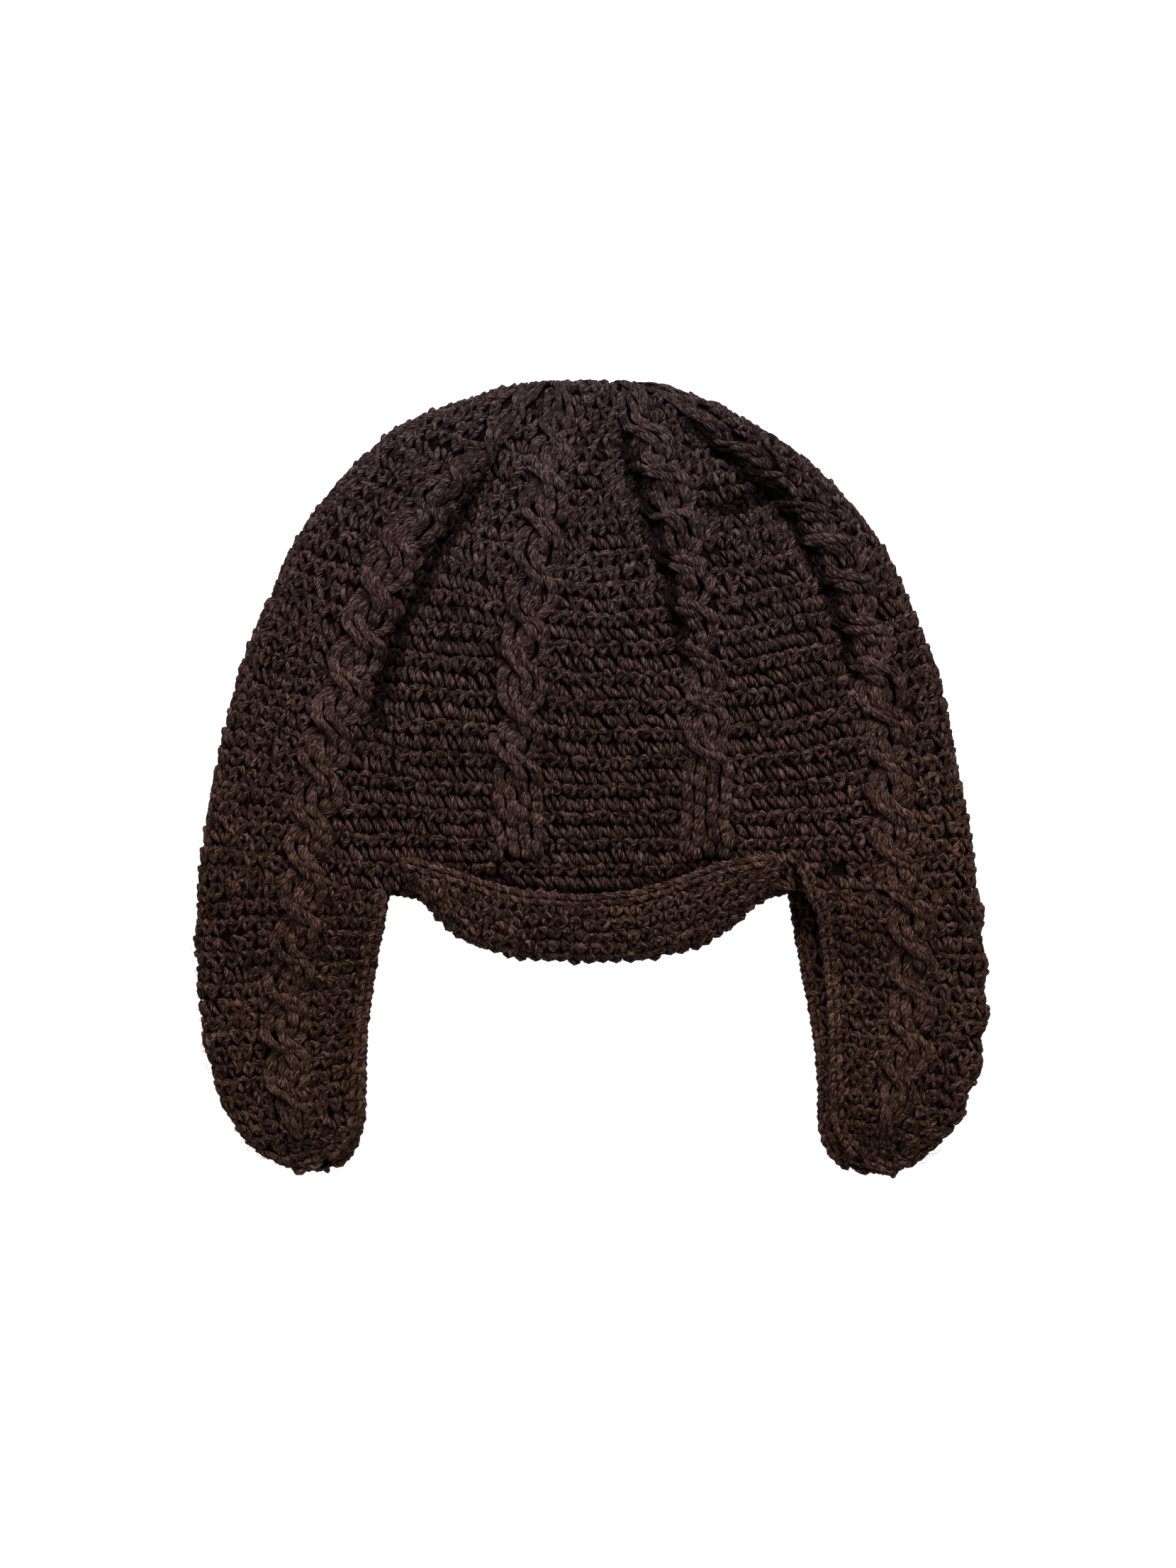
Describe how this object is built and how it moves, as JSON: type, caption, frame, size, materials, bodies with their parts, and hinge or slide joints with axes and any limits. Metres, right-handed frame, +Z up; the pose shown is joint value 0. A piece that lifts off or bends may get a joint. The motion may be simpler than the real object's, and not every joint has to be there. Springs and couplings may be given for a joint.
{
  "type": "crocheted earflap cap with cables and a rolled visor",
  "caption": "Crocheted earflap cap lying flat on its back, with a rounded crown, raised cables, a small rolled visor and two long ear flaps folded along their outer edges.",
  "frame": {"origin": "on the surface that the cap lies on, under the middle of the whole cap's box", "axes": "+Z up, out of the front of the cap as it lies on its back; +Y towards the top of the crown; +X towards the wearer's left ear flap"},
  "size_m": [0.2819, 0.2828, 0.0424],
  "materials": {
    "yarn": "soft matt wool yarn with fine stray fibres"
  },
  "bodies": {
    "root": {"crown": "yarn", "ear_flap_right": "yarn", "ear_flap_left": "yarn", "visor": "yarn", "edging_front_right": "yarn", "edging_front_left": "yarn", "edging_rear": "yarn", "cable_front_1": "yarn", "cable_front_2": "yarn", "cable_front_3": "yarn", "cable_front_4": "yarn", "cable_back_1": "yarn", "cable_back_2": "yarn", "cable_back_3": "yarn", "cable_back_4": "yarn"}
  },
  "joints": []
}
